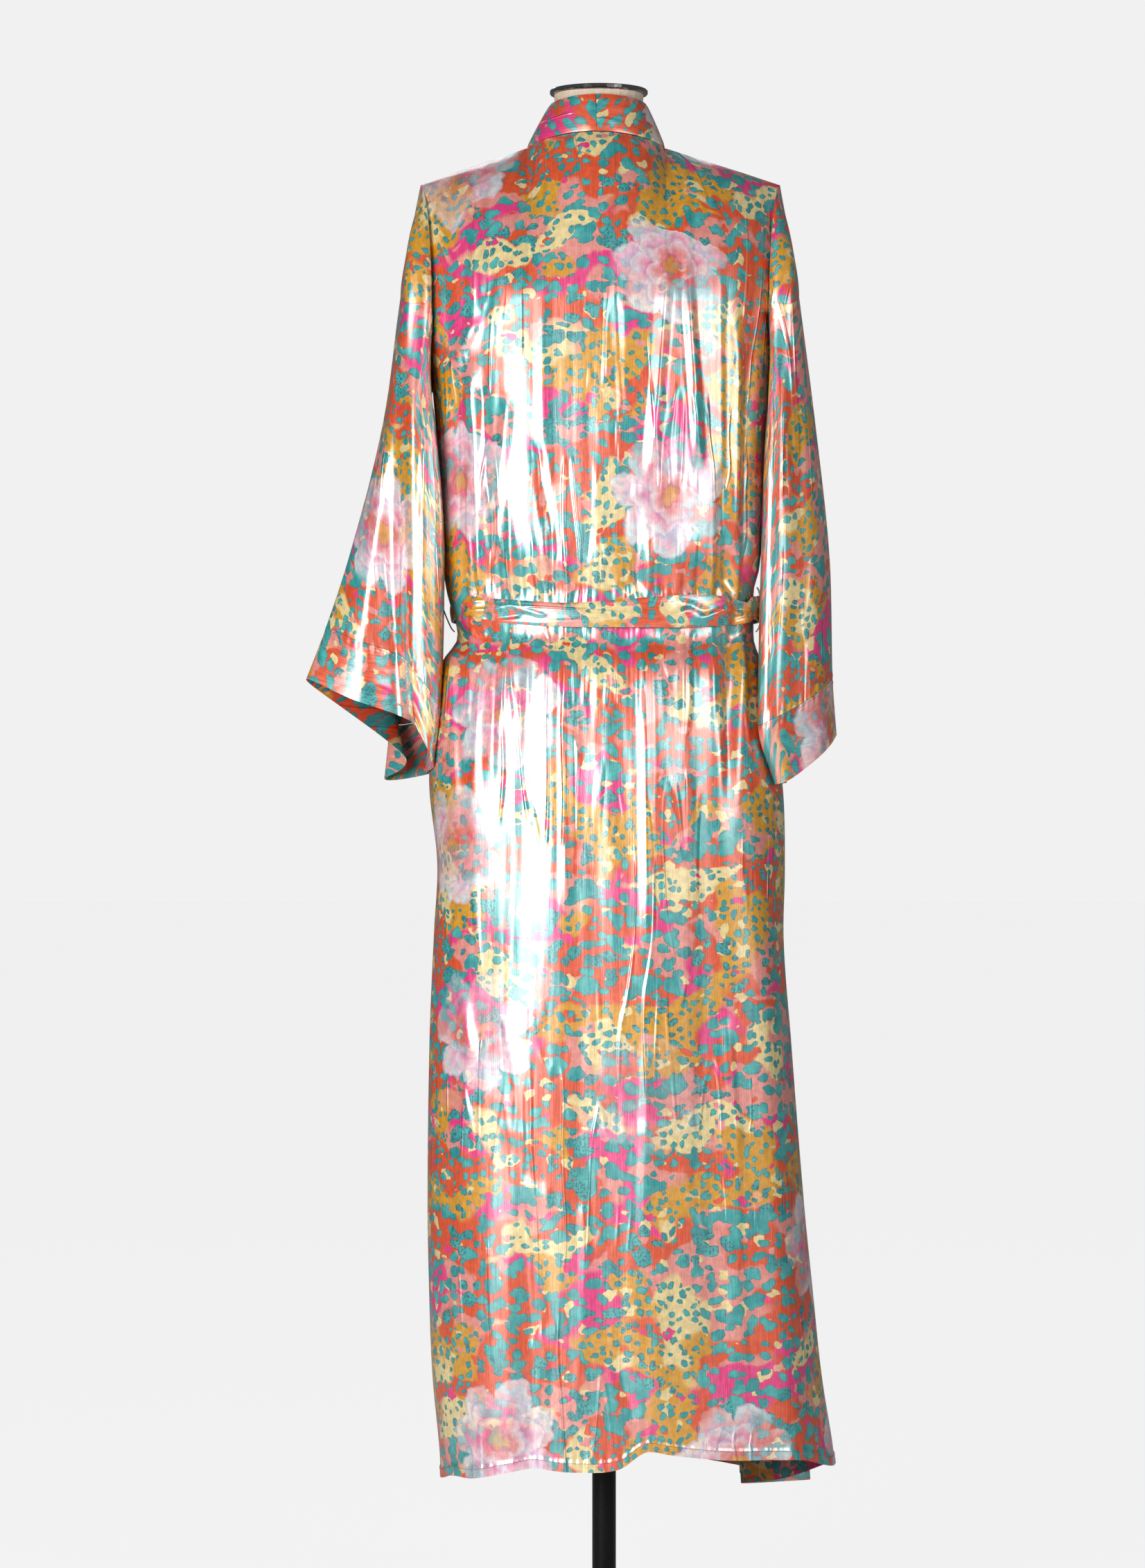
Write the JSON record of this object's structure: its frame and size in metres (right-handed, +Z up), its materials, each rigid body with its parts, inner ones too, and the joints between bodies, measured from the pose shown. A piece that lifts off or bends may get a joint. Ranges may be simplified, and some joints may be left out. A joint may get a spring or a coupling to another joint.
{
  "type": "long belted kimono robe on a dress form with a pole stand",
  "caption": "Long belted kimono robe in shiny printed satin on a limbless linen dress form with a chrome cap, black pole and round base.",
  "frame": {"origin": "on the floor under the pole's axis, at the centre of the base's underside", "axes": "+Z up along the pole, the robe's front faces -Y and its back +Y, +X is the wearer's left"},
  "size_m": [0.5564, 0.34, 1.6538],
  "materials": {
    "satin": "foil-sheen satin printed with animal spots over soft flowers",
    "linen": "plain matt linen",
    "chrome": "polished",
    "black_metal": "satin black"
  },
  "bodies": {
    "root": {"back": "satin", "front_left": "satin", "front_right": "satin", "sleeve_left": "satin", "sleeve_right": "satin", "cuff_left": "satin", "cuff_right": "satin", "collar_left": "satin", "collar_right": "satin", "belt": "satin", "belt_knot": "satin", "belt_tail_left": "satin", "belt_tail_right": "satin", "belt_loop_left": "satin", "belt_loop_right": "satin", "form_torso": "linen", "neck_cap": "chrome", "pole": "black_metal", "base": "black_metal"}
  },
  "joints": []
}
